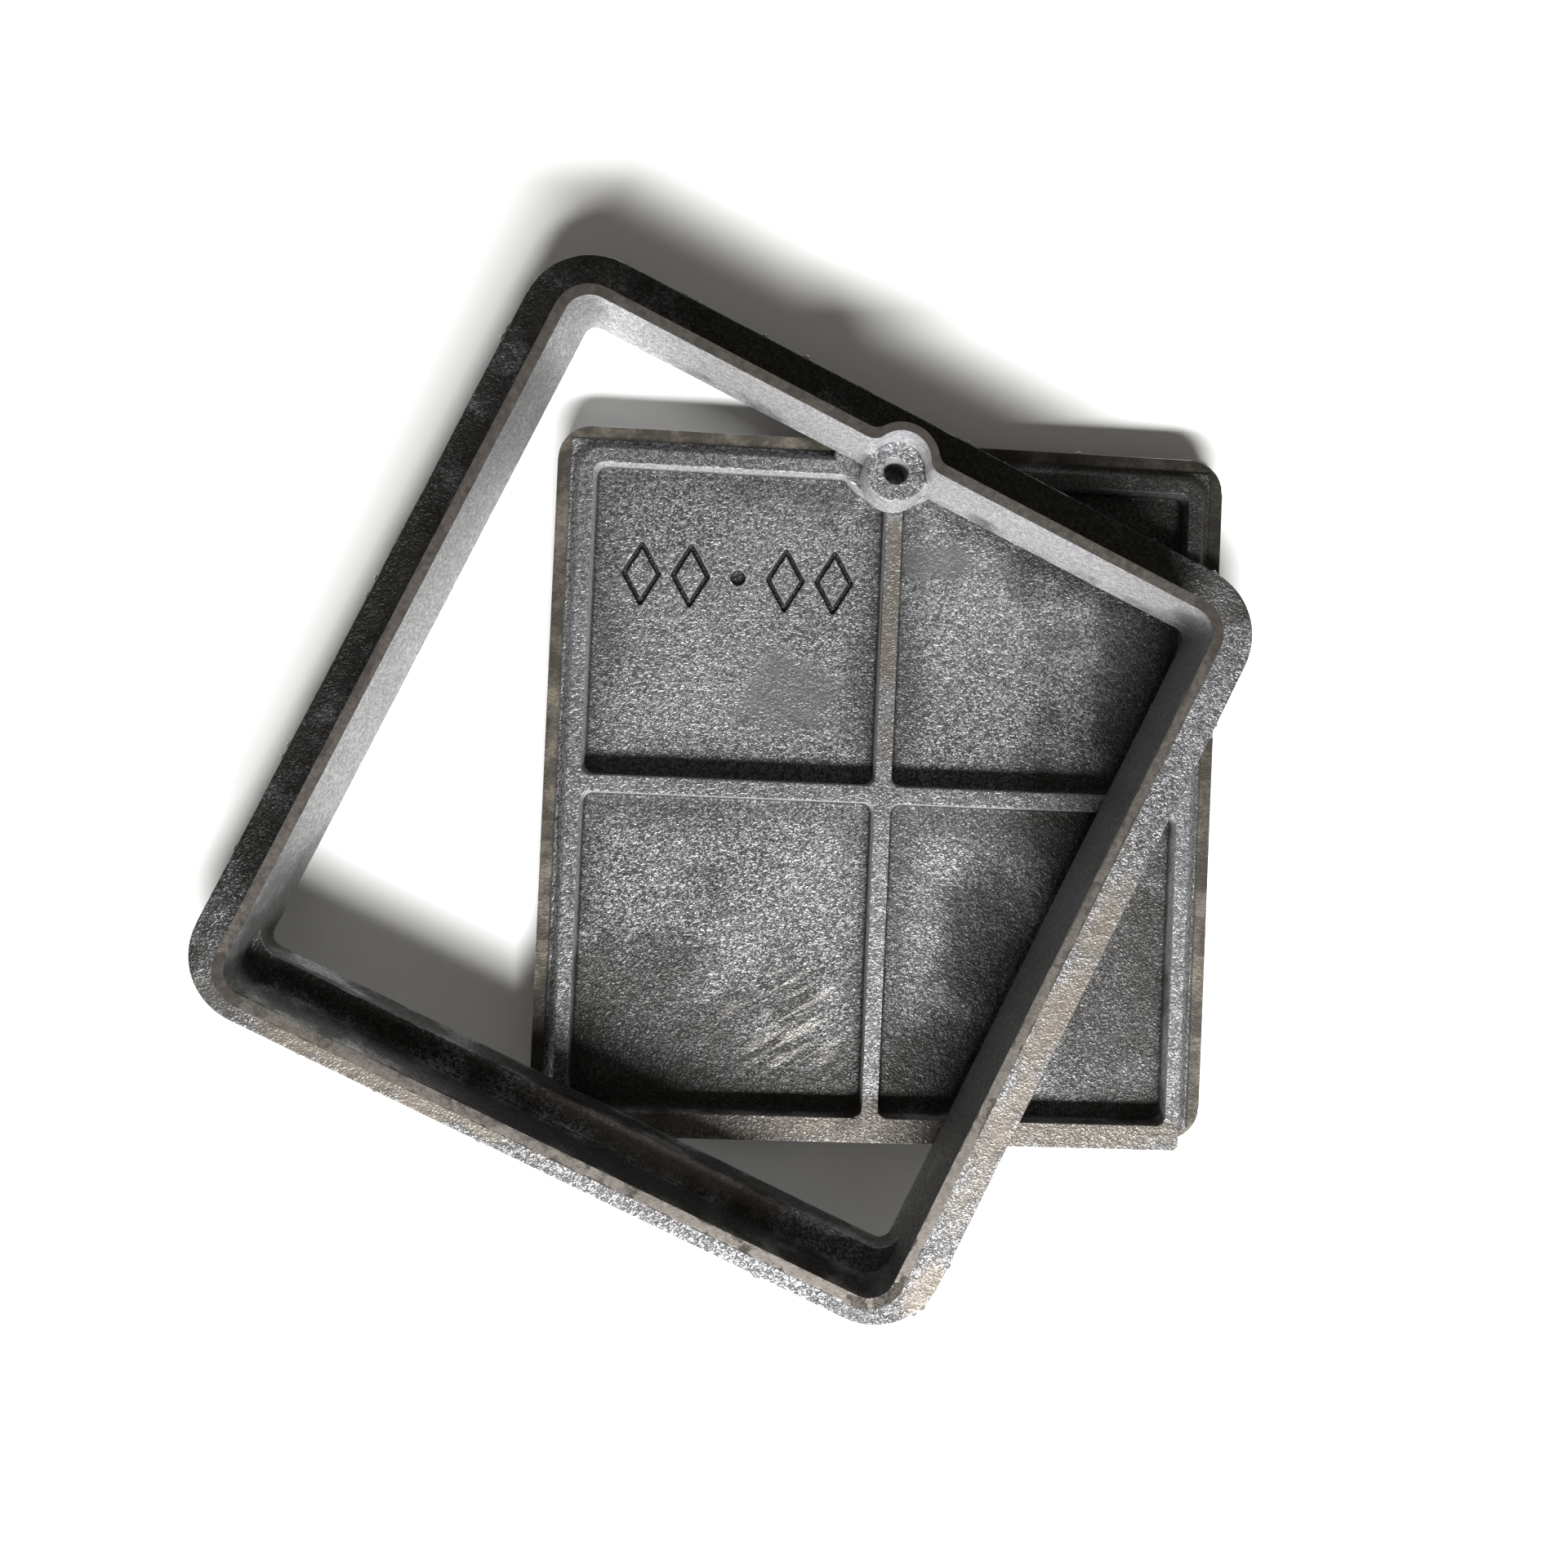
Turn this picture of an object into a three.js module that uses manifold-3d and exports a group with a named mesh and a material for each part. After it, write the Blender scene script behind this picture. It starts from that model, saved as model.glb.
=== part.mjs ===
// A small cast-iron access cover and its frame, as two loose castings.
//
// The cover lies upside down, tread face on the ground and ribs up. The frame lies flat on the
// ribs, turned about the lock axis that the two castings share.
// Millimetres, +Z up. The origin is the middle of the tread face, on the ground.

import * as THREE from 'three';
import { mergeVertices } from 'three/addons/utils/BufferGeometryUtils.js';
import Module from 'manifold-3d';

const wasm = await Module();
wasm.setup();

// Fit between the castings
const NOMINAL_WIDTH = 240; // across the plate of the cover
const SIDE_CLEARANCE = 0.5; // each side, between the plate and the mouth of the frame
const SEAT_GAP = 0.3; // between the frame and the ribs that it lies on
const OVERCUT = 1; // how far a cutting solid runs past the face that it opens

// Cover
const PLATE = { width: NOMINAL_WIDTH, length: 247, thickness: 14, corner: 12 };
const COVER_DEPTH = 18; // tread face to rib tops
const RIB_WIDTH = 5.2;
const RIB_INSET = 8.4; // plate edge to the outer side of the border rib, at its top
const RIB_SLOPE = 2.8; // how far the foot of the border rib stands out from its top
const RIB_CORNER = 8;
const FRONT_BAR_INSET = 6.2; // plate edge to the inner side of the bar that carries the tongue
const CROSS_RIB = { width: 6, y: -3 };
const PANEL_FLOOR = 10; // tread face to the floor of the sunk panels
const PANEL_CORNER = 3.5;
const PANEL_DRAFT = 0.6; // each side, between the floor and the rib tops
const TONGUE = { reach: 3.1, thickness: 5, chamfer: 1.5 };
const EAR_RADIUS = 10;
const BOSS_RADIUS = 22.7;
const BOSS_INSET = 5; // plate edge to the flat back of the boss
const LOCK_HOLE_RADIUS = 4.5;

// Tread on the ground face
const TREAD_DEPTH = 2;
const TREAD_BORDER = 9;
const STUD = { rows: 10, pitch: 20.6, radius: 7.2, draft: 0.6 };
const BLANK_RADIUS = 27; // plain disc in the middle of the tread

// Mark sunk in one panel: two diamonds, a dot, two diamonds
const MARK = { height: 24, width: 14, stroke: 1.5, depth: 1.8, pitch: 17.5 };
const DOT = { radius: 2.6, pitch: 17 }; // pitch: from the dot to the nearest diamonds
const MARK_HEIGHT_IN_PANEL = 0.66; // share of the panel's length below the mark

// Frame, in its own axes: +Y points to the lug
const FRAME_HEIGHT = 36;
const RIM_LAND = 3.6; // width of the ground land on top of the wall
const MOUTH_WIDTH = NOMINAL_WIDTH + 2 * SIDE_CLEARANCE;
const MOUTH_LENGTH = 254.8;
const MOUTH_SHIFT = -0.6; // the mouth's middle, from the middle of the frame
const MOUTH_CORNER = { rim: 9, base: 4 };
const SIDE_DRAFT = 1.5; // each side, over the full height
const LUG_END_DRAFT = 1.8;
const SHELF_END_DRAFT = 2.8; // over the wall above the shelf
const SHELF_WIDTH = 9.2;
const SEAT_DEPTH = 18.5; // rim to shelf, and rim to lug
const WALL_DRAFT = 2; // outside of the wall, over the full height
const FLANGE = { width: 286, length: 295, thickness: 4.5, corner: 25, shift: 1.5 };
const LOCK_AXIS_Y = 125; // middle of the frame to the lock axis
const POCKET = { radius: 10, wall: 2.8, fillet: 5 }; // over the lug
const LUG = { topRadius: 10.7, baseRadius: 11.7 };
const LUG_HOLE_RADIUS = 4.3;
const BEAD = { length: 102, radius: 0.9 };

// How the frame lies on the cover
const FRAME_TURN = THREE.MathUtils.degToRad(-24.45);
const LOCK_AXIS_ON_COVER = new THREE.Vector2(-1.5, PLATE.length / 2 - 14.8);

const QUARTER_TURN = Math.PI / 2;
const ARC_STEPS = 14; // segments in an arc of an outline
const ROUND_STEPS = 40; // segments around a boss
const HOLE_STEPS = 24;

// Solids and joins

function toSolid(geometry) {
  const bare = geometry.index ? geometry.toNonIndexed() : geometry.clone();
  bare.deleteAttribute('normal');
  bare.deleteAttribute('uv');
  const merged = mergeVertices(bare, 1e-5);
  const mesh = new wasm.Mesh({
    numProp: 3,
    vertProperties: new Float32Array(merged.attributes.position.array),
    triVerts: new Uint32Array(merged.index.array),
  });
  return new wasm.Manifold(mesh);
}

function toGeometry(solid) {
  const mesh = solid.getMesh();
  const geometry = new THREE.BufferGeometry();
  geometry.setAttribute('position', new THREE.BufferAttribute(mesh.vertProperties, 3));
  geometry.setIndex(new THREE.BufferAttribute(mesh.triVerts, 1));
  geometry.computeVertexNormals();
  return geometry;
}

function join(solids) {
  return solids.reduce((total, solid) => total.add(solid));
}

// Outlines and blocks. A rectangle is { left, right, front, back }.

function centredRectangle(width, length, y = 0) {
  return { left: -width / 2, right: width / 2, front: y - length / 2, back: y + length / 2 };
}

function insetRectangle(rectangle, inset) {
  return {
    left: rectangle.left + inset,
    right: rectangle.right - inset,
    front: rectangle.front + inset,
    back: rectangle.back - inset,
  };
}

// An outline is a list of points, counter-clockwise.
function arc(x, y, radius, from, to) {
  const points = [];
  for (let i = 0; i <= ARC_STEPS; i += 1) {
    const angle = THREE.MathUtils.lerp(from, to, i / ARC_STEPS);
    points.push(new THREE.Vector2(x + radius * Math.cos(angle), y + radius * Math.sin(angle)));
  }
  return points;
}

function roundedOutline({ left, right, front, back }, radius) {
  return [
    ...arc(right - radius, front + radius, radius, -QUARTER_TURN, 0),
    ...arc(right - radius, back - radius, radius, 0, QUARTER_TURN),
    ...arc(left + radius, back - radius, radius, QUARTER_TURN, 2 * QUARTER_TURN),
    ...arc(left + radius, front + radius, radius, 2 * QUARTER_TURN, 3 * QUARTER_TURN),
  ];
}

// The same outline with a round bump on its back side, blended in by a fillet at each foot.
function bumpedOutline({ left, right, front, back }, radius, bumpY, bumpRadius, fillet) {
  const rise = back + fillet - bumpY;
  const reach = Math.sqrt((bumpRadius + fillet) ** 2 - rise ** 2);
  const turn = Math.atan2(rise, reach);
  return [
    ...arc(right - radius, front + radius, radius, -QUARTER_TURN, 0),
    ...arc(right - radius, back - radius, radius, 0, QUARTER_TURN),
    ...arc(reach, back + fillet, fillet, -QUARTER_TURN, turn - 2 * QUARTER_TURN),
    ...arc(0, bumpY, bumpRadius, turn, 2 * QUARTER_TURN - turn).slice(1, -1),
    ...arc(-reach, back + fillet, fillet, -turn, -QUARTER_TURN),
    ...arc(left + radius, back - radius, radius, QUARTER_TURN, 2 * QUARTER_TURN),
    ...arc(left + radius, front + radius, radius, 2 * QUARTER_TURN, 3 * QUARTER_TURN),
  ];
}

function diamondOutline(width, height) {
  return [
    new THREE.Vector2(0, -height / 2),
    new THREE.Vector2(width / 2, 0),
    new THREE.Vector2(0, height / 2),
    new THREE.Vector2(-width / 2, 0),
  ];
}

// A solid whose sides run straight from one outline to another with as many points.
function loft(lower, upper, bottom, top) {
  const count = lower.length;
  const foot = lower.flatMap(({ x, y }) => [x, y, bottom]);
  const head = upper.flatMap(({ x, y }) => [x, y, top]);
  const triangles = [];
  for (let i = 0; i < count; i += 1) {
    const next = (i + 1) % count;
    triangles.push(i, next, count + next);
    triangles.push(i, count + next, count + i);
  }
  for (const [a, b, c] of THREE.ShapeUtils.triangulateShape(upper, [])) {
    triangles.push(a, c, b);
    triangles.push(count + a, count + b, count + c);
  }
  const vertProperties = new Float32Array([...foot, ...head]);
  const mesh = new wasm.Mesh({ numProp: 3, vertProperties, triVerts: new Uint32Array(triangles) });
  return new wasm.Manifold(mesh);
}

function prism(outline, bottom, top) {
  return loft(outline, outline, bottom, top);
}

function block(rectangle, radius, bottom, top) {
  return prism(roundedOutline(rectangle, radius), bottom, top);
}

// An upright cylinder or cone.
function post(topRadius, baseRadius, x, y, bottom, top, steps = ROUND_STEPS) {
  const geometry = new THREE.CylinderGeometry(topRadius, baseRadius, top - bottom, steps);
  geometry.rotateX(Math.PI / 2);
  geometry.translate(x, y, (bottom + top) / 2);
  return toSolid(geometry);
}

// What cuts an upright hole from z = 0 up through a casting of the given height.
function throughHole(radius, y, height) {
  return post(radius, radius, 0, y, -OVERCUT, height + OVERCUT, HOLE_STEPS);
}

// Cover

const plateEdge = centredRectangle(PLATE.width, PLATE.length);
const ribOuter = { ...insetRectangle(plateEdge, RIB_INSET), front: plateEdge.front + 1 };
const ribInner = { ...insetRectangle(ribOuter, RIB_WIDTH), front: plateEdge.front + FRONT_BAR_INSET };
const earY = plateEdge.back;

// The raised block that the four panels are sunk into: border rib and cross ribs are what is left.
function ribBlock() {
  const foot = { ...insetRectangle(ribOuter, -RIB_SLOPE), front: ribOuter.front };
  const atFoot = roundedOutline(foot, RIB_CORNER);
  const slope = loft(atFoot, roundedOutline(ribOuter, RIB_CORNER), PLATE.thickness, COVER_DEPTH);
  return slope.add(prism(atFoot, PLATE.thickness - OVERCUT, PLATE.thickness));
}

function panelMouth(side, end) {
  const half = CROSS_RIB.width / 2;
  return {
    left: side < 0 ? ribInner.left : half,
    right: side < 0 ? -half : ribInner.right,
    front: end < 0 ? ribInner.front : CROSS_RIB.y + half,
    back: end < 0 ? CROSS_RIB.y - half : ribInner.back,
  };
}

function panelPocket(side, end) {
  const opening = panelMouth(side, end);
  const atMouth = roundedOutline(opening, PANEL_CORNER);
  const atFloor = roundedOutline(insetRectangle(opening, PANEL_DRAFT), PANEL_CORNER);
  const slanted = loft(atFloor, atMouth, PANEL_FLOOR, COVER_DEPTH);
  return slanted.add(prism(atMouth, COVER_DEPTH, COVER_DEPTH + OVERCUT));
}

function panelPockets() {
  return join([panelPocket(-1, -1), panelPocket(1, -1), panelPocket(1, 1), panelPocket(-1, 1)]);
}

// Half a disc inside the back edge, with the ear standing out past the edge.
function lockBoss() {
  const disc = post(BOSS_RADIUS, BOSS_RADIUS + PANEL_DRAFT, 0, earY, PANEL_FLOOR - OVERCUT, COVER_DEPTH);
  const half = disc.intersect(block(insetRectangle(plateEdge, BOSS_INSET), PANEL_CORNER, 0, COVER_DEPTH));
  const ear = post(EAR_RADIUS, EAR_RADIUS, 0, earY, 0, COVER_DEPTH);
  return half.add(ear);
}

// The tongue stands out past the front edge, level with the rib tops.
function tongue() {
  const { reach, thickness, chamfer } = TONGUE;
  const tip = plateEdge.front - reach;
  const outline = [
    new THREE.Vector2(ribOuter.left + chamfer, tip),
    new THREE.Vector2(ribOuter.right - chamfer, tip),
    new THREE.Vector2(ribOuter.right, tip + chamfer),
    new THREE.Vector2(ribOuter.right, ribInner.front),
    new THREE.Vector2(ribOuter.left, ribInner.front),
    new THREE.Vector2(ribOuter.left, tip + chamfer),
  ];
  return prism(outline, COVER_DEPTH - thickness, COVER_DEPTH);
}

function treadRecess() {
  const field = block(insetRectangle(plateEdge, TREAD_BORDER), PANEL_CORNER, -OVERCUT, TREAD_DEPTH);
  const kept = [post(BLANK_RADIUS, BLANK_RADIUS, 0, 0, -OVERCUT, TREAD_DEPTH)];
  const middle = (STUD.rows - 1) / 2;
  for (let row = 0; row < STUD.rows; row += 1) {
    for (let column = 0; column < STUD.rows; column += 1) {
      const x = (column - middle) * STUD.pitch;
      const y = (row - middle) * STUD.pitch;
      if (Math.hypot(x, y) > BLANK_RADIUS + STUD.radius) {
        kept.push(post(STUD.radius + STUD.draft, STUD.radius, x, y, -OVERCUT, TREAD_DEPTH, 4));
      }
    }
  }
  return field.subtract(join(kept));
}

function markDiamond() {
  const { height, width, stroke, depth } = MARK;
  const sideDistance = (width * height) / (2 * Math.hypot(width, height));
  const inside = 1 - stroke / sideDistance;
  const outer = prism(diamondOutline(width, height), PANEL_FLOOR - depth, PANEL_FLOOR + OVERCUT);
  const island = diamondOutline(width * inside, height * inside);
  return outer.subtract(prism(island, PANEL_FLOOR - 2 * depth, PANEL_FLOOR + 2 * OVERCUT));
}

function panelMark() {
  const { pitch, depth } = MARK;
  const panel = panelMouth(-1, 1);
  const x = (panel.left + panel.right) / 2;
  const y = THREE.MathUtils.lerp(panel.front, panel.back, MARK_HEIGHT_IN_PANEL);
  const dot = post(DOT.radius, DOT.radius, x, y, PANEL_FLOOR - depth, PANEL_FLOOR + OVERCUT, HOLE_STEPS);
  const offsets = [-DOT.pitch - pitch, -DOT.pitch, DOT.pitch, DOT.pitch + pitch];
  const diamonds = offsets.map((offset) => markDiamond().translate([x + offset, y, 0]));
  return join([...diamonds, dot]);
}

function makeCover() {
  return block(plateEdge, PLATE.corner, 0, PLATE.thickness)
    .add(ribBlock())
    .add(tongue())
    .subtract(panelPockets())
    .add(lockBoss())
    .subtract(panelMark())
    .subtract(treadRecess())
    .subtract(throughHole(LOCK_HOLE_RADIUS, earY, COVER_DEPTH));
}

// Frame

const mouth = centredRectangle(MOUTH_WIDTH, MOUTH_LENGTH, MOUTH_SHIFT);
const seatLevel = FRAME_HEIGHT - SEAT_DEPTH;

// The opening's rectangle at a height, above or below the shelf.
function openingAt(height) {
  const fall = (FRAME_HEIGHT - height) / FRAME_HEIGHT;
  const shelfFall = Math.min(1, (FRAME_HEIGHT - height) / SEAT_DEPTH);
  return {
    left: mouth.left + SIDE_DRAFT * fall,
    right: mouth.right - SIDE_DRAFT * fall,
    front: mouth.front + SHELF_END_DRAFT * shelfFall,
    back: mouth.back - LUG_END_DRAFT * fall,
  };
}

function mouthOutline(height) {
  return bumpedOutline(openingAt(height), MOUTH_CORNER.rim, LOCK_AXIS_Y, POCKET.radius, POCKET.fillet);
}

// Between the rim and the shelf the opening takes in the pocket over the lug.
function upperOpening() {
  const atRim = mouthOutline(FRAME_HEIGHT);
  const slanted = loft(mouthOutline(seatLevel), atRim, seatLevel, FRAME_HEIGHT);
  return slanted.add(prism(atRim, FRAME_HEIGHT, FRAME_HEIGHT + OVERCUT));
}

function lowerOpening() {
  const atSeat = openingAt(seatLevel);
  const atBase = openingAt(0);
  const belowShelf = { ...atSeat, front: atSeat.front + SHELF_WIDTH };
  const baseBelowShelf = { ...atBase, front: atBase.front + SHELF_WIDTH };
  const head = roundedOutline(belowShelf, MOUTH_CORNER.rim);
  const foot = roundedOutline(baseBelowShelf, MOUTH_CORNER.base);
  return loft(foot, head, 0, seatLevel).add(prism(foot, -OVERCUT, 0));
}

function frameWall() {
  const atTop = insetRectangle(mouth, -RIM_LAND);
  const atBase = insetRectangle(atTop, -WALL_DRAFT);
  const corner = MOUTH_CORNER.rim + RIM_LAND;
  const bump = POCKET.radius + POCKET.wall;
  const head = bumpedOutline(atTop, corner, LOCK_AXIS_Y, bump, POCKET.fillet);
  const foot = bumpedOutline(atBase, corner, LOCK_AXIS_Y, bump + WALL_DRAFT, POCKET.fillet);
  return loft(foot, head, 0, FRAME_HEIGHT);
}

function frameFlange() {
  const edge = centredRectangle(FLANGE.width, FLANGE.length, FLANGE.shift);
  return block(edge, FLANGE.corner, 0, FLANGE.thickness);
}

function shelfBead() {
  const geometry = new THREE.CylinderGeometry(BEAD.radius, BEAD.radius, BEAD.length, 12);
  geometry.rotateZ(Math.PI / 2);
  geometry.translate(0, openingAt(seatLevel).front, seatLevel + BEAD.radius);
  return toSolid(geometry);
}

function makeFrame() {
  const lug = post(LUG.topRadius, LUG.baseRadius, 0, LOCK_AXIS_Y, 0, seatLevel);
  return frameFlange()
    .add(frameWall())
    .subtract(upperOpening())
    .subtract(lowerOpening())
    .add(lug)
    .add(shelfBead())
    .subtract(throughHole(LUG_HOLE_RADIUS, LOCK_AXIS_Y, seatLevel));
}

// Assembly

function casting(name, solid, color, roughness) {
  const material = new THREE.MeshStandardMaterial({ color, roughness, metalness: 0.6 });
  const mesh = new THREE.Mesh(toGeometry(solid), material);
  mesh.name = name;
  return mesh;
}

const group = new THREE.Group();

const cover = casting('cover', makeCover(), 0x6a6b6d, 0.62);
group.add(cover);

const frame = casting('frame', makeFrame(), 0x7a7670, 0.58);
const lockArm = new THREE.Vector2(0, LOCK_AXIS_Y).rotateAround(new THREE.Vector2(), FRAME_TURN);
const frameMiddle = LOCK_AXIS_ON_COVER.clone().sub(lockArm);
frame.position.set(frameMiddle.x, frameMiddle.y, COVER_DEPTH + SEAT_GAP);
frame.rotation.z = FRAME_TURN;
group.add(frame);

export default group;
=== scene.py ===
"""A small cast-iron access cover, ribs up, with its loose frame laid on it.

The two castings are remade from the CAD solids as sand castings: every edge and
inside corner gets the small radius of a mould, the faces get a slight waviness and
grain, the outer edges get a thin broken flash, and the machined land on the frame's
rim is ground flat again.
"""

import math

import bmesh
import bpy
import numpy as np
from mathutils import Matrix, Vector
from mathutils import noise


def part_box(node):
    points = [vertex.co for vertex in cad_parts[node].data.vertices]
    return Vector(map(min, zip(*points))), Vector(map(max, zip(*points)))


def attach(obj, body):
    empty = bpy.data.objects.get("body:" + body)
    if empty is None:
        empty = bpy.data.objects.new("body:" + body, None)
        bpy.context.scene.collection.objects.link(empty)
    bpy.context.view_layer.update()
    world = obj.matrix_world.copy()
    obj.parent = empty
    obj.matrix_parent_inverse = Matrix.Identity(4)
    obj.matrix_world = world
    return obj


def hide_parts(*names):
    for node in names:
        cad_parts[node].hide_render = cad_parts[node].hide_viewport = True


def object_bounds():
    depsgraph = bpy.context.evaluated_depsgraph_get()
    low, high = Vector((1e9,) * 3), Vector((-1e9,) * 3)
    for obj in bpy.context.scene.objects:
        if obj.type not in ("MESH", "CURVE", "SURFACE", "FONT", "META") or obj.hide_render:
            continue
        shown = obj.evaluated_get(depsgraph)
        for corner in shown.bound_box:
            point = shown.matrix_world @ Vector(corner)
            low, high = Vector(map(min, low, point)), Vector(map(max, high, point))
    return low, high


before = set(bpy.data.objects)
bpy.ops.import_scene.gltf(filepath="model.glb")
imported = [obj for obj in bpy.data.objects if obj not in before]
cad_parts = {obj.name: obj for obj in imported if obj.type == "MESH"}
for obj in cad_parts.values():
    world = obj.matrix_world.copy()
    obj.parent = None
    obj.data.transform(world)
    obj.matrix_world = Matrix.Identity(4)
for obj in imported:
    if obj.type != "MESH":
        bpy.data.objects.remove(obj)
cad_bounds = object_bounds()

MM = 0.001
WELD_DISTANCE = 0.001 * MM
LEVEL_TOLERANCE = 0.01 * MM

# Castings
VOXEL = 0.5 * MM
SMOOTHING_ROUNDS = 5
KEPT_TRIANGLES = 190_000
SHARP_ANGLE = math.radians(55)
WAVE_LENGTH = 38 * MM
WAVE_HEIGHT = 0.22 * MM
DIMPLE_LENGTH = 2.6 * MM
DIMPLE_HEIGHT = 0.10 * MM
RIM_STOCK = 1.5 * MM  # cast above the rim and then ground off, so that the land has crisp edges
FLASH_REACH = 3.4 * MM
FLASH_THICKNESS = 1.2 * MM
FLASH_STRETCH = 11 * MM  # length of its long waves
FLASH_TOOTH = 2.4 * MM  # length of its short waves
FLASH_ZONE = 0.92  # nothing nearer the casting's middle than this share of its half width
COVER_FLASH_HEIGHT = 5 * MM  # above the underside of the casting
FRAME_FLASH_HEIGHT = 1 * MM
LOCK_KEEP_OUT = 17 * MM  # no flash this close to the lock axis

# Places on the castings
BORDER = 5.2 * MM  # edge of the cover's plate to the foot of its border rib
PLATE_LENGTH = 247 * MM
PLATE_TOP = 14 * MM
PANEL_FLOOR = 10 * MM
PANEL_MIDDLE = (54.7 * MM, 58.4 * MM)  # from the crossing of the two inner ribs
PANEL_HALF = (51.7 * MM, 55.4 * MM)
CROSSING_Y = -3 * MM
GRAIN_SCALE = 820  # per metre

# Colours of the iron, with a painted sheen, painted shade and a painted highlight among them
PIT = (0.030, 0.030, 0.032, 1)
CREST = (0.30, 0.30, 0.31, 1)
# Painted sheen: lighter grain colours for the steep faces, standing in for the light they catch
STEEP_PIT_PAINTED_SHEEN = (0.44, 0.44, 0.45, 1)
STEEP_CREST_PAINTED_SHEEN = (0.92, 0.92, 0.94, 1)
DARK_TONE = (0.055, 0.054, 0.052, 1)
LIGHT_TONE = (0.20, 0.20, 0.205, 1)
SMOOTH_IRON = (0.125, 0.122, 0.118, 1)
# Painted shade for the inside corners and creases
CREASE_PAINTED_SHADE = (0.010, 0.010, 0.008, 1)
# Wear on the edges together with a painted highlight along them
WORN_EDGE_AND_HIGHLIGHT = (0.86, 0.85, 0.84, 1)
LAND_DARK = (0.080, 0.071, 0.063, 1)
LAND_LIGHT = (0.112, 0.100, 0.089, 1)

# Colours of the films on it, some of which are painted shade and shadow
# Painted shade along the foot of the ribs round each panel
PANEL_SHADE_BLACK = (0.020, 0.019, 0.016, 1)
# Painted shadow on the cover
COVER_SHADOW_BLACK = (0.018, 0.017, 0.014, 1)
# Painted shade inside the sunk strokes of the mark
MARK_PAINTED_SHADE = (0.012, 0.012, 0.011, 1)
# Painted shadow on the frame
FRAME_SHADOW_BLACK = (0.012, 0.011, 0.008, 1)
BORDER_BROWN = (0.048, 0.041, 0.031, 1)
BORDER_STREAK = (0.17, 0.15, 0.12, 1)
RIB_BROWN = (0.115, 0.098, 0.078, 1)
FLANGE_BROWN = (0.150, 0.128, 0.102, 1)
RUBBED_GREY = (0.115, 0.114, 0.116, 1)
# Painted shade on the frame's side walls
WALL_SHADE_GREY = (0.095, 0.095, 0.092, 1)
SCRATCH = (0.36, 0.345, 0.31, 1)

# Patches of film, and of painted shadow and shade: the middle and the radii in mm. On the cover they
# are in the object's frame, on the frame along its own walls from its middle, with heights from the
# ground.
# Painted shadows: darker patches on the cover where the frame's walls shade the panels
COVER_PAINTED_SHADOWS = (
    ((-84, -106, 10), (90, 56, 8)),
    ((-30, -116, 10), (66, 32, 8)),
    ((94, 36, 10), (24, 44, 8)),
    ((66, -12, 10), (26, 40, 8)),
    ((38, -52, 10), (26, 40, 8)),
    ((26, -102, 10), (30, 30, 8)),
    ((88, -64, 10), (30, 66, 7)),
    ((100, 104, 12), (90, 60, 20)),
)
COVER_BROWN = (
    ((10, -121, 18), (150, 9, 8)),
    ((0, 60, 18), (5, 60, 3)),
)
COVER_RUBBED = (
    ((-34, 32, 10), (24, 18, 4)),
    ((18, 82, 10), (16, 8, 4)),
)
FRAME_BROWN = (
    ((138, -30, 20), (10, 90, 9)),
    ((141, -128, 20), (10, 26, 9)),
    ((-70, -143, 20), (80, 6, 9)),
    ((30, -119, 36), (50, 9, 7)),
)
# Painted shadows: the flanges behind the walls and the shaded inside of the front wall and shelf
FRAME_PAINTED_SHADOWS = (
    ((0, 144, 20), (230, 22, 14)),
    ((-141, 10, 20), (18, 200, 12)),
    ((0, -129, 44), (170, 8, 15)),
    ((0, -116, 26), (170, 6, 13)),
    ((-119, -120, 30), (18, 40, 40)),
    ((-84, -120, 36), (60, 11, 9)),
)
# Painted shade: the left and right walls are dulled to a darker grey
FRAME_WALL_PAINTED_SHADE = (
    ((-121, 0, 36), (14, 300, 70)),
    ((121, 0, 36), (14, 300, 70)),
)
SCRATCHED = ((-28, -84, 10), (26, 20, 4))
SCRATCH_ANGLE = math.radians(32)

# Camera, light and floor
CAMERA_PLACE = (-0.04681, 0.00213, 0.5510)
CAMERA_RIGHT = (0.996642, 0.041915, 0.070338)
CAMERA_UP = (-0.042909, 0.998998, 0.012693)
SENSOR_WIDTH = 36  # mm
LENS = 34.58  # mm
LENS_SHIFT = (-0.047, -0.018)  # share of the sensor's width
KEY_PLACE = (0.10, -1.24, 1.22)
KEY_SIZE = (1.2, 0.30)
KEY_POWER = 94  # W
SKY = (1.0, 0.965, 0.90, 1)
SKY_STRENGTH = 0.15
FLOOR_PAINT = (0.80, 0.80, 0.79, 1)


# --- The places that the frame gives ---------------------------------------------


def wall_turn(mesh):
    """The angle of the casting's walls about Z, from the area and direction of its upright faces."""
    east, north = 0.0, 0.0
    for polygon in mesh.polygons:
        normal = polygon.normal
        if abs(normal.z) < 0.3:
            angle = 4 * math.atan2(normal.y, normal.x)
            east += polygon.area * math.cos(angle)
            north += polygon.area * math.sin(angle)
    return math.atan2(north, east) / 4


cover_low, cover_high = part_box("cover")
frame_low, frame_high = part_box("frame")
frame_turn = wall_turn(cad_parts["frame"].data)


# --- Meshes ----------------------------------------------------------------------


def applied_mesh(piece):
    """The piece's mesh with its modifiers applied, which are then taken off the piece."""
    bpy.context.view_layer.update()
    graph = bpy.context.evaluated_depsgraph_get()
    mesh = bpy.data.meshes.new_from_object(piece.evaluated_get(graph))
    piece.modifiers.clear()
    return mesh


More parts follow.
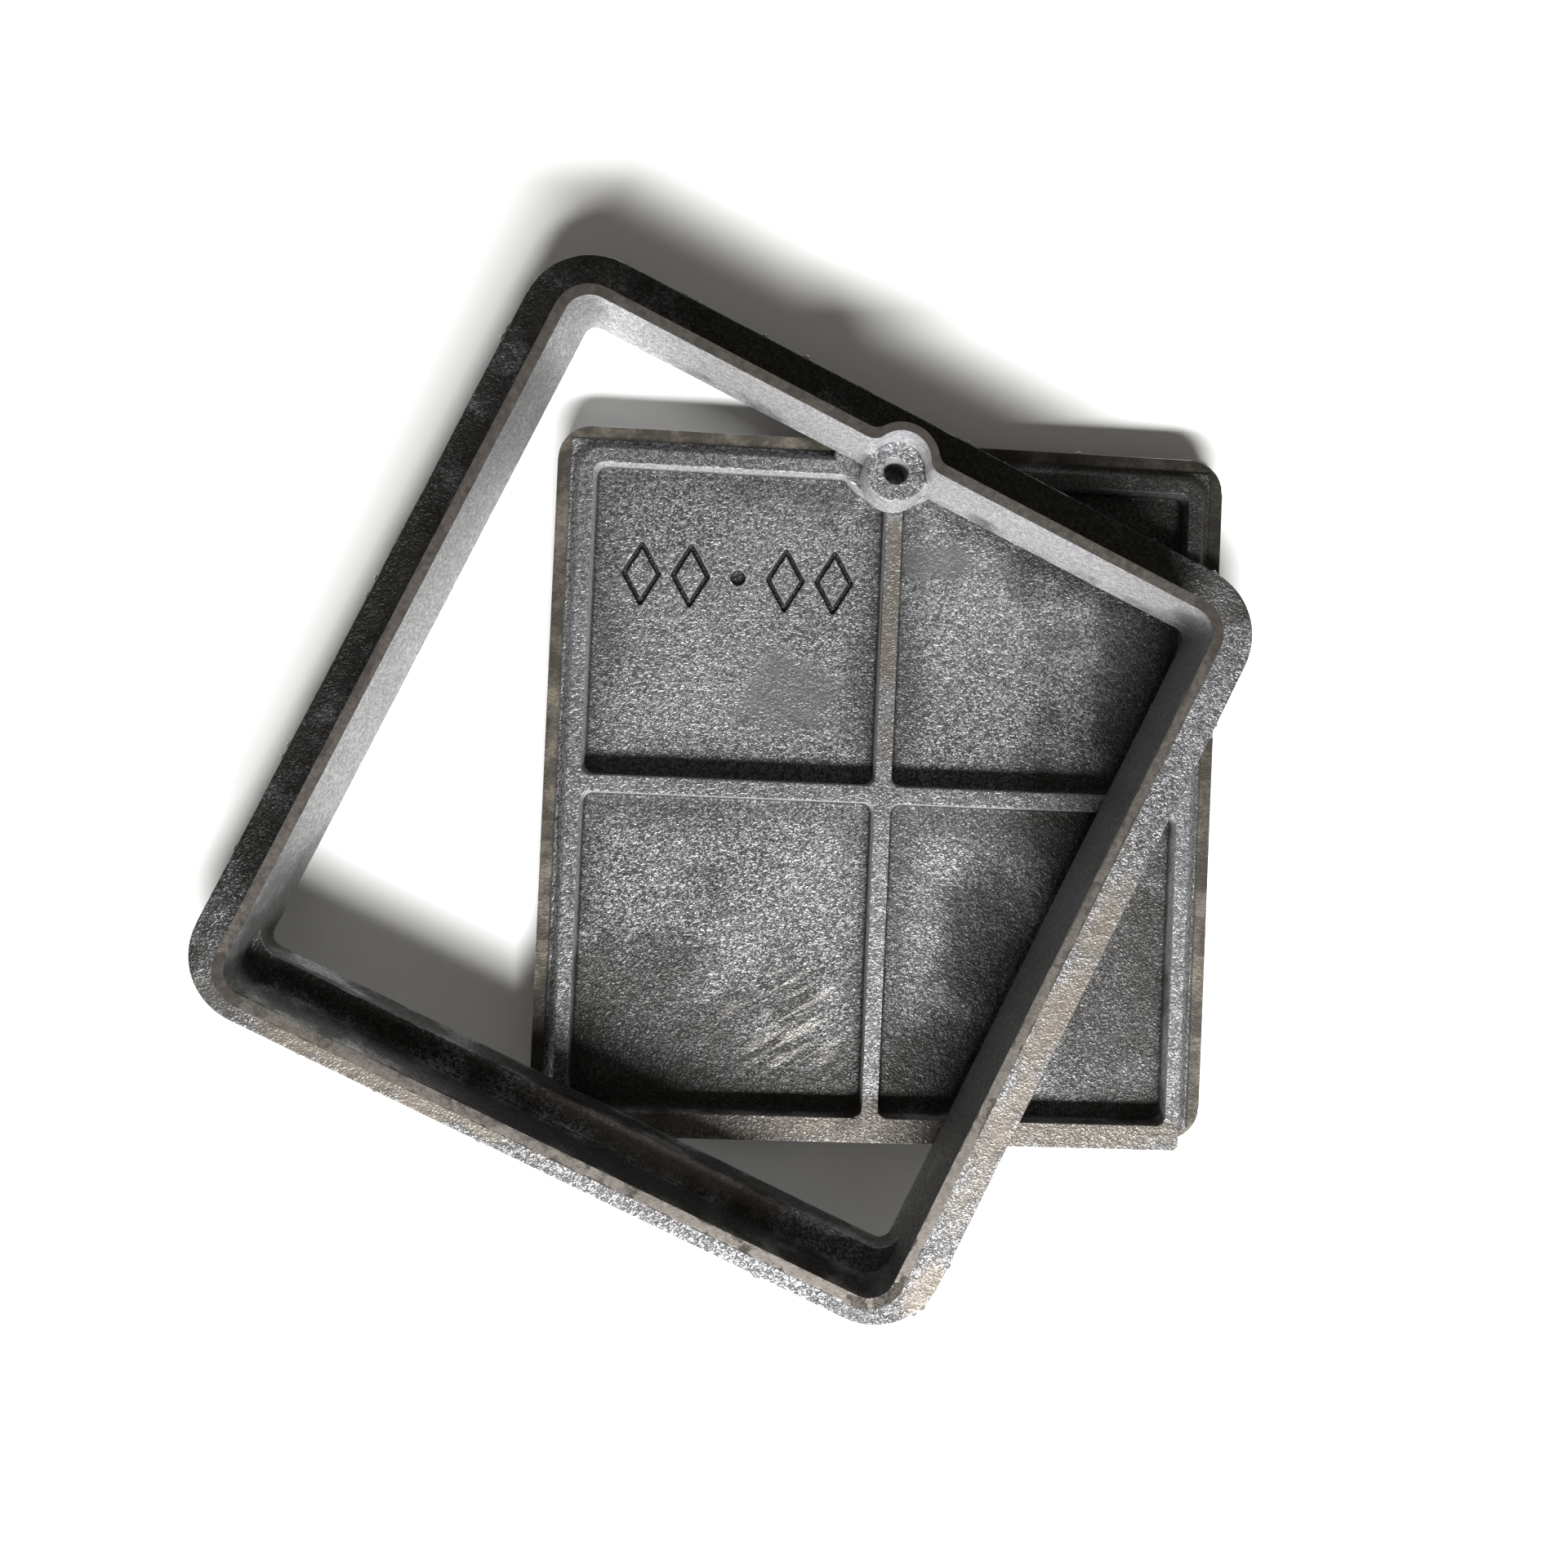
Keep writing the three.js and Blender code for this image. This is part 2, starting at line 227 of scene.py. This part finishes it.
def welded_copy(node, turn, stock):
    """A closed copy of a CAD node's mesh, turned so that its walls lie along X and Y."""
    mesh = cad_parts[node].data.copy()
    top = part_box(node)[1].z
    work = bmesh.new()
    work.from_mesh(mesh)
    bmesh.ops.remove_doubles(work, verts=work.verts, dist=WELD_DISTANCE)
    for vertex in work.verts:
        if vertex.co.z > top - LEVEL_TOLERANCE:
            vertex.co.z += stock
    bmesh.ops.rotate(work, verts=work.verts, cent=(0, 0, 0), matrix=Matrix.Rotation(-turn, 3, "Z"))
    work.to_mesh(mesh)
    work.free()
    return mesh


def rounded_casting(name, node, turn, stock):
    """The CAD solid with the radii that a sand mould gives it."""
    piece = bpy.data.objects.new(name, welded_copy(node, turn, stock))
    bpy.context.scene.collection.objects.link(piece)
    remesh = piece.modifiers.new("grid", "REMESH")
    remesh.mode = "VOXEL"
    remesh.voxel_size = VOXEL
    remesh.use_smooth_shade = True
    smooth = piece.modifiers.new("mould radius", "SMOOTH")
    smooth.factor = 0.5
    smooth.iterations = SMOOTHING_ROUNDS
    piece.data = applied_mesh(piece)
    return piece


def thin_out(piece, triangles):
    """Fewer triangles on the flat stretches, the same along the edges."""
    reduce = piece.modifiers.new("thin out", "DECIMATE")
    reduce.ratio = min(1.0, triangles / (2 * len(piece.data.polygons)))
    piece.data = applied_mesh(piece)
    for polygon in piece.data.polygons:
        polygon.use_smooth = True


def read_points(mesh):
    points = np.empty(len(mesh.vertices) * 3)
    mesh.vertices.foreach_get("co", points)
    return points.reshape(-1, 3)


def read_normals(mesh):
    normals = np.empty(len(mesh.vertices) * 3)
    mesh.vertex_normals.foreach_get("vector", normals)
    return normals.reshape(-1, 3)


def write_points(mesh, points):
    mesh.vertices.foreach_set("co", points.ravel())
    mesh.update()


def cast_relief(points, seed):
    """How far each point stands back from the true surface, 0 or less: long waves and small dimples."""
    relief = np.empty(len(points))
    shift = Vector((seed, seed, seed))
    for i, point in enumerate(points):
        place = Vector(point)
        wave = noise.noise(place / WAVE_LENGTH + shift)
        dimple = noise.noise(place / DIMPLE_LENGTH + shift)
        relief[i] = WAVE_HEIGHT * (wave - 1) / 2 + DIMPLE_HEIGHT * (dimple - 1) / 2
    return relief


def roughen(piece, seed, land_level):
    """Sinks the surface a little along its normals, so that it never stands proud of the CAD box.

    A land that was ground flat at land_level stays flat.
    """
    mesh = piece.data
    points = read_points(mesh)
    relief = cast_relief(points, seed)
    relief[points[:, 2] > land_level - LEVEL_TOLERANCE] = 0
    points += read_normals(mesh) * relief[:, None]
    write_points(mesh, points)


def ragged(point, seed):
    """0 where the flash has broken off, up to about 1 where it still stands."""
    place = Vector((point[0], point[1], seed))
    stretches = noise.noise(place / FLASH_STRETCH)
    teeth = noise.noise(place / FLASH_TOOTH)
    return max(0.0, stretches + 0.7 * teeth - 0.12)


def add_flash(piece, level, seed):
    """Draws the outer edge out into the thin broken flash that the mould's joint leaves at a level."""
    points = read_points(piece.data)
    normals = read_normals(piece.data)
    offset = points - (points.min(axis=0) + points.max(axis=0)) / 2
    outward = normals[:, 0] * offset[:, 0] + normals[:, 1] * offset[:, 1] > 0
    outermost = np.hypot(offset[:, 0], offset[:, 1]) > FLASH_ZONE * offset[:, 0].max()
    clear_of_lock = (np.abs(offset[:, 0]) > LOCK_KEEP_OUT) | (offset[:, 1] < 0)
    in_joint = np.abs(points[:, 2] - level) < 2 * FLASH_THICKNESS
    for i in np.flatnonzero(outward & outermost & clear_of_lock & in_joint):
        fade = math.exp(-(((points[i, 2] - level) / FLASH_THICKNESS) ** 2))
        points[i, :2] += normals[i, :2] * FLASH_REACH * fade * ragged(points[i], seed)
    write_points(piece.data, points)


def clamp_to_box(piece, low, high):
    points = read_points(piece.data)
    write_points(piece.data, np.clip(points, np.array(low), np.array(high)))


def grind(piece, level):
    """Takes off what stands above the level."""
    points = read_points(piece.data)
    points[:, 2] = np.minimum(points[:, 2], level)
    write_points(piece.data, points)


def make_casting(name, node, turn, seed, flash_height, stock=0.0):
    """One casting in place of its CAD node.

    It is worked with its walls along X and Y and turned back at the end. The stock is what is
    cast above the top face and ground off again.
    """
    piece = rounded_casting(name, node, turn, stock)
    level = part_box(node)[1].z if stock else math.inf
    grind(piece, level)
    add_flash(piece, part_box(node)[0].z + flash_height, seed)
    thin_out(piece, KEPT_TRIANGLES)
    roughen(piece, seed, level)
    piece.data.transform(Matrix.Rotation(turn, 4, "Z"))
    clamp_to_box(piece, *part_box(node))
    piece.data.set_sharp_from_angle(angle=SHARP_ANGLE)
    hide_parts(node)
    return piece


# --- Materials -------------------------------------------------------------------


class Nodes:
    """A material's node tree, with short calls for its nodes."""

    def __init__(self, name):
        self.material = bpy.data.materials.new(name)
        self.material.use_nodes = True
        self.tree = self.material.node_tree
        self.shader = self.tree.nodes["Principled BSDF"]

    def add(self, kind, inputs=None, **settings):
        node = self.tree.nodes.new(kind)
        for key, value in settings.items():
            setattr(node, key, value)
        for key, value in (inputs or {}).items():
            self.set(node.inputs[key], value)
        return node

    def set(self, socket, value):
        if isinstance(value, bpy.types.NodeSocket):
            self.tree.links.new(value, socket)
        else:
            socket.default_value = value

    def maths(self, operation, *values, clamp=False):
        node = self.add("ShaderNodeMath", operation=operation, use_clamp=clamp)
        for socket, value in zip(node.inputs, values):
            self.set(socket, value)
        return node.outputs[0]

    def ramp(self, value, low, high):
        """0 at low, 1 at high, smooth between."""
        node = self.add(
            "ShaderNodeMapRange",
            {"Value": value, "From Min": low, "From Max": high},
            interpolation_type="SMOOTHSTEP",
        )
        return node.outputs["Result"]

    def mix(self, share, first, second):
        node = self.add("ShaderNodeMix", data_type="RGBA")
        for index, value in ((0, share), (6, first), (7, second)):
            self.set(node.inputs[index], value)
        return node.outputs[2]

    def noise(self, place, scale, detail=3.0, roughness=0.55, distortion=0.0):
        inputs = {
            "Vector": place,
            "Scale": scale,
            "Detail": detail,
            "Roughness": roughness,
            "Distortion": distortion,
        }
        return self.add("ShaderNodeTexNoise", inputs).outputs["Fac"]


def blot(nodes, place, middle, radii):
    """1 inside a soft, ragged patch and 0 outside."""
    offset = nodes.add("ShaderNodeVectorMath", operation="SUBTRACT")
    nodes.set(offset.inputs[0], place)
    nodes.set(offset.inputs[1], [value * MM for value in middle])
    scaled = nodes.add("ShaderNodeVectorMath", operation="DIVIDE")
    nodes.set(scaled.inputs[0], offset.outputs["Vector"])
    nodes.set(scaled.inputs[1], [value * MM for value in radii])
    length = nodes.add("ShaderNodeVectorMath", operation="LENGTH")
    nodes.set(length.inputs[0], scaled.outputs["Vector"])
    waver = nodes.noise(place, 48, detail=6.0)
    distance = nodes.maths("MULTIPLY_ADD", waver, 2.4, length.outputs["Value"])
    return nodes.ramp(distance, 2.35, 1.60)


def blots(nodes, place, patches):
    mask = 0.0
    for middle, radii in patches:
        mask = nodes.maths("MAXIMUM", blot(nodes, place, middle, radii), mask)
    return mask


def beyond_border_rib(nodes, place):
    """1 outside the cover's border rib, seen from above, and 0 inside it."""
    axes = nodes.add("ShaderNodeSeparateXYZ", {"Vector": place}).outputs
    half_width = cover_high.x - BORDER
    half_length = PLATE_LENGTH / 2 - BORDER
    across = nodes.ramp(nodes.maths("ABSOLUTE", axes["X"]), half_width, half_width + 1 * MM)
    along = nodes.ramp(nodes.maths("ABSOLUTE", axes["Y"]), half_length, half_length + 1 * MM)
    return nodes.maths("MAXIMUM", across, along)


def panel_edge_shade(nodes, place):
    """Painted shade: 0 over the middle of each sunk panel, rising to 1 along the ribs round it."""
    axes = nodes.add("ShaderNodeSeparateXYZ", {"Vector": place}).outputs
    from_crossing = (axes["X"], nodes.maths("SUBTRACT", axes["Y"], CROSSING_Y))
    rim = 0.0
    for value, middle, half in zip(from_crossing, PANEL_MIDDLE, PANEL_HALF):
        offset = nodes.maths("SUBTRACT", nodes.maths("ABSOLUTE", value), middle)
        share = nodes.maths("DIVIDE", nodes.maths("ABSOLUTE", offset), half)
        rim = nodes.maths("MAXIMUM", share, rim)
    ragged_rim = nodes.maths("MULTIPLY_ADD", nodes.noise(place, 30, detail=4.0), 0.6, rim)
    return nodes.ramp(ragged_rim, 0.98, 1.30)


def above(nodes, place, level, softness=0.3 * MM):
    height = nodes.add("ShaderNodeSeparateXYZ", {"Vector": place}).outputs["Z"]
    return nodes.ramp(height, level - softness, level)


def invert(nodes, value):
    return nodes.maths("SUBTRACT", 1.0, value)


def cast_iron(nodes, place, smooth, films):
    """Bare sand-cast iron: dark grain with bright tips, thin films over it, some of which are painted
    shade and shadow, painted shade in the inside corners, and wear with a painted highlight along the
    edges.

    The steep faces are painted brighter: a painted sheen for the light that they catch.

    A film is a mask, a colour and how well it covers. Returns the colour, the roughness and the
    height of the grain.
    """
    grain = nodes.noise(place, GRAIN_SCALE, detail=1.5, roughness=0.5, distortion=1.2)
    coarse = nodes.noise(place, 0.22 * GRAIN_SCALE, detail=3.0)
    patch = nodes.noise(place, 14, detail=5.0)
    geometry = nodes.add("ShaderNodeNewGeometry")
    edge = geometry.outputs["Pointiness"]
    lean = nodes.add("ShaderNodeSeparateXYZ", {"Vector": geometry.outputs["True Normal"]}).outputs["Z"]
    upright = nodes.ramp(nodes.maths("ABSOLUTE", lean), 0.60, 0.25)

    tips = nodes.ramp(grain, 0.42, 0.60)
    # Painted sheen: the steep faces take the lighter grain colours
    pits = nodes.mix(upright, PIT, STEEP_PIT_PAINTED_SHEEN)
    crests = nodes.mix(upright, CREST, STEEP_CREST_PAINTED_SHEEN)
    colour = nodes.mix(tips, pits, crests)
    tone = nodes.mix(nodes.ramp(patch, 0.32, 0.68), DARK_TONE, LIGHT_TONE)
    colour = nodes.mix(0.35, colour, tone)
    colour = nodes.mix(nodes.maths("MULTIPLY", smooth, 0.5), colour, SMOOTH_IRON)
    for mask, film, cover_share in films:
        colour = nodes.mix(nodes.maths("MULTIPLY", mask, cover_share), colour, film)

    # Painted shade: inside corners and creases on the flatter faces go near black
    crease_shade = nodes.maths("MULTIPLY", nodes.ramp(edge, 0.490, 0.450), invert(nodes, upright))
    colour = nodes.mix(nodes.maths("MULTIPLY", crease_shade, 0.85), colour, CREASE_PAINTED_SHADE)
    # Edge wear and a painted highlight: convex edges go near white
    worn_and_highlight = nodes.ramp(edge, 0.525, 0.56)
    colour = nodes.mix(nodes.maths("MULTIPLY", worn_and_highlight, 0.8), colour, WORN_EDGE_AND_HIGHLIGHT)

    roughness = nodes.maths("MULTIPLY_ADD", tips, -0.14, 0.54)
    roughness = nodes.maths("MULTIPLY_ADD", worn_and_highlight, -0.28, roughness)
    even = nodes.maths("MAXIMUM", nodes.maths("MAXIMUM", smooth, worn_and_highlight), upright)
    strength = nodes.maths("MULTIPLY_ADD", even, -0.75, 1.0)
    height = nodes.maths("MULTIPLY", nodes.maths("MULTIPLY_ADD", coarse, 0.9, grain), strength)
    return colour, roughness, height


def finish_iron(nodes, colour, roughness, height):
    bump = nodes.add("ShaderNodeBump", {"Height": height, "Strength": 1.0, "Distance": 0.62 * MM})
    nodes.set(nodes.shader.inputs["Base Color"], colour)
    nodes.set(nodes.shader.inputs["Roughness"], roughness)
    nodes.set(nodes.shader.inputs["Normal"], bump.outputs["Normal"])
    nodes.shader.inputs["Metallic"].default_value = 0.6
    return nodes.material


def scratches(nodes, place):
    """Light strokes side by side in one patch."""
    turned = nodes.add("ShaderNodeVectorRotate", {"Vector": place}, rotation_type="Z_AXIS")
    nodes.set(turned.inputs["Angle"], -SCRATCH_ANGLE)
    stretched = nodes.add("ShaderNodeVectorMath", operation="MULTIPLY")
    nodes.set(stretched.inputs[0], turned.outputs["Vector"])
    nodes.set(stretched.inputs[1], (1.0, 9.0, 1.0))
    strokes = nodes.ramp(nodes.noise(stretched.outputs["Vector"], 42, detail=5.0), 0.50, 0.66)
    return nodes.maths("MULTIPLY", strokes, blot(nodes, place, *SCRATCHED))


def cover_iron():
    nodes = Nodes("cover_iron")
    place = nodes.add("ShaderNodeTexCoord").outputs["Object"]
    beyond = beyond_border_rib(nodes, place)
    low = invert(nodes, above(nodes, place, PLATE_TOP + 1.2 * MM, 1 * MM))
    border = nodes.maths("MULTIPLY", beyond, low)
    rib_tops = above(nodes, place, cover_high.z - 0.4 * MM)
    rubbed = blots(nodes, place, COVER_RUBBED)
    smooth = nodes.maths("MAXIMUM", border, nodes.maths("MULTIPLY", rib_tops, 0.4))
    smooth = nodes.maths("MAXIMUM", smooth, nodes.maths("MULTIPLY", rubbed, 0.6))

    inside = invert(nodes, beyond)
    below_floor = invert(nodes, above(nodes, place, PANEL_FLOOR - 0.4 * MM))
    sunk = nodes.maths("MULTIPLY", below_floor, inside)
    sunk = nodes.maths("MULTIPLY", sunk, above(nodes, place, 0.5 * PANEL_FLOOR))
    streaks = nodes.ramp(nodes.noise(place, 90, detail=8.0, roughness=0.7), 0.42, 0.68)
    on_floor = invert(nodes, above(nodes, place, PANEL_FLOOR + 2 * MM))
    edges = nodes.maths("MULTIPLY", panel_edge_shade(nodes, place), on_floor)
    films = (
        # painted shade along the ribs round each panel
        (nodes.maths("MULTIPLY", edges, inside), PANEL_SHADE_BLACK, 0.62),
        (border, nodes.mix(streaks, BORDER_BROWN, BORDER_STREAK), 0.9),
        (blots(nodes, place, COVER_BROWN), RIB_BROWN, 0.7),
        # painted shadows of the frame on the panels
        (blots(nodes, place, COVER_PAINTED_SHADOWS), COVER_SHADOW_BLACK, 0.74),
        (rubbed, RUBBED_GREY, 0.45),
        (scratches(nodes, place), SCRATCH, 0.5),
        # painted shade in the sunk strokes of the mark
        (sunk, MARK_PAINTED_SHADE, 0.85),
    )
    return finish_iron(nodes, *cast_iron(nodes, place, smooth, films))


def frame_iron():
    """The frame's iron, with a land ground on the rim."""
    nodes = Nodes("frame_iron")
    middle = (frame_low + frame_high) / 2
    offset = nodes.add("ShaderNodeVectorMath", operation="SUBTRACT")
    nodes.set(offset.inputs[0], nodes.add("ShaderNodeTexCoord").outputs["Object"])
    nodes.set(offset.inputs[1], (middle.x, middle.y, 0))
    turned = nodes.add("ShaderNodeVectorRotate", rotation_type="Z_AXIS")
    nodes.set(turned.inputs["Vector"], offset.outputs["Vector"])
    nodes.set(turned.inputs["Angle"], -frame_turn)
    place = turned.outputs["Vector"]

    brown = blots(nodes, place, FRAME_BROWN)
    films = (
        (brown, FLANGE_BROWN, 0.75),
        # painted shadows on the frame
        (blots(nodes, place, FRAME_PAINTED_SHADOWS), FRAME_SHADOW_BLACK, 0.85),
        # painted shade on the side walls
        (blots(nodes, place, FRAME_WALL_PAINTED_SHADE), WALL_SHADE_GREY, 0.62),
    )
    colour, roughness, height = cast_iron(nodes, place, nodes.maths("MULTIPLY", brown, 0.7), films)

    land = above(nodes, place, frame_high.z - 0.05 * MM, 0.1 * MM)
    strokes = nodes.noise(place, 420, detail=3.0)
    ground = nodes.mix(nodes.ramp(strokes, 0.3, 0.7), LAND_DARK, LAND_LIGHT)
    colour = nodes.mix(land, colour, ground)
    height = nodes.maths("MULTIPLY", height, nodes.maths("MULTIPLY_ADD", land, -0.92, 1.0))
    return finish_iron(nodes, colour, roughness, height)


def paint(piece, material):
    piece.data.materials.clear()
    piece.data.materials.append(material)


# --- Stage -----------------------------------------------------------------------


def make_camera():
    """Above the castings, tipped a few degrees, as a hand-held camera looks straight down."""
    data = bpy.data.cameras.new("camera")
    data.sensor_width = SENSOR_WIDTH
    data.lens = LENS
    data.shift_x, data.shift_y = LENS_SHIFT
    data.clip_start = 0.01
    camera = bpy.data.objects.new("camera", data)
    bpy.context.scene.collection.objects.link(camera)
    right = Vector(CAMERA_RIGHT)
    up = Vector(CAMERA_UP)
    back = right.cross(up)
    turn = Matrix((right, up, back)).transposed().to_4x4()
    camera.matrix_world = Matrix.Translation(CAMERA_PLACE) @ turn
    bpy.context.scene.camera = camera


def add_area_light(name, place, size, power):
    """A soft rectangular light aimed at the origin."""
    data = bpy.data.lights.new(name, "AREA")
    data.shape = "RECTANGLE"
    data.size, data.size_y = size
    data.energy = power
    light = bpy.data.objects.new(name, data)
    bpy.context.scene.collection.objects.link(light)
    light.location = place
    light.rotation_euler = (-Vector(place)).to_track_quat("-Z", "Y").to_euler()


def make_floor():
    mesh = bpy.data.meshes.new("floor")
    work = bmesh.new()
    bmesh.ops.create_grid(work, x_segments=1, y_segments=1, size=4)
    work.to_mesh(mesh)
    work.free()
    floor = bpy.data.objects.new("floor", mesh)
    floor.location.z = cad_bounds[0][2]
    bpy.context.scene.collection.objects.link(floor)
    nodes = Nodes("floor")
    nodes.shader.inputs["Base Color"].default_value = FLOOR_PAINT
    nodes.shader.inputs["Roughness"].default_value = 0.9
    mesh.materials.append(nodes.material)


def make_stage():
    make_floor()
    world = bpy.data.worlds.new("world")
    world.use_nodes = True
    background = world.node_tree.nodes["Background"]
    background.inputs["Color"].default_value = SKY
    background.inputs["Strength"].default_value = SKY_STRENGTH
    bpy.context.scene.world = world
    add_area_light("key", KEY_PLACE, KEY_SIZE, KEY_POWER)
    bpy.context.scene.view_settings.view_transform = "Standard"


make_camera()
make_stage()

cover = make_casting("cover_casting", "cover", 0.0, seed=3.0, flash_height=COVER_FLASH_HEIGHT)
ring = make_casting(
    "frame_casting",
    "frame",
    frame_turn,
    seed=11.0,
    flash_height=FRAME_FLASH_HEIGHT,
    stock=RIM_STOCK,
)
paint(cover, cover_iron())
paint(ring, frame_iron())
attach(cover, "cover")
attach(ring, "frame")

bpy.context.view_layer.update()
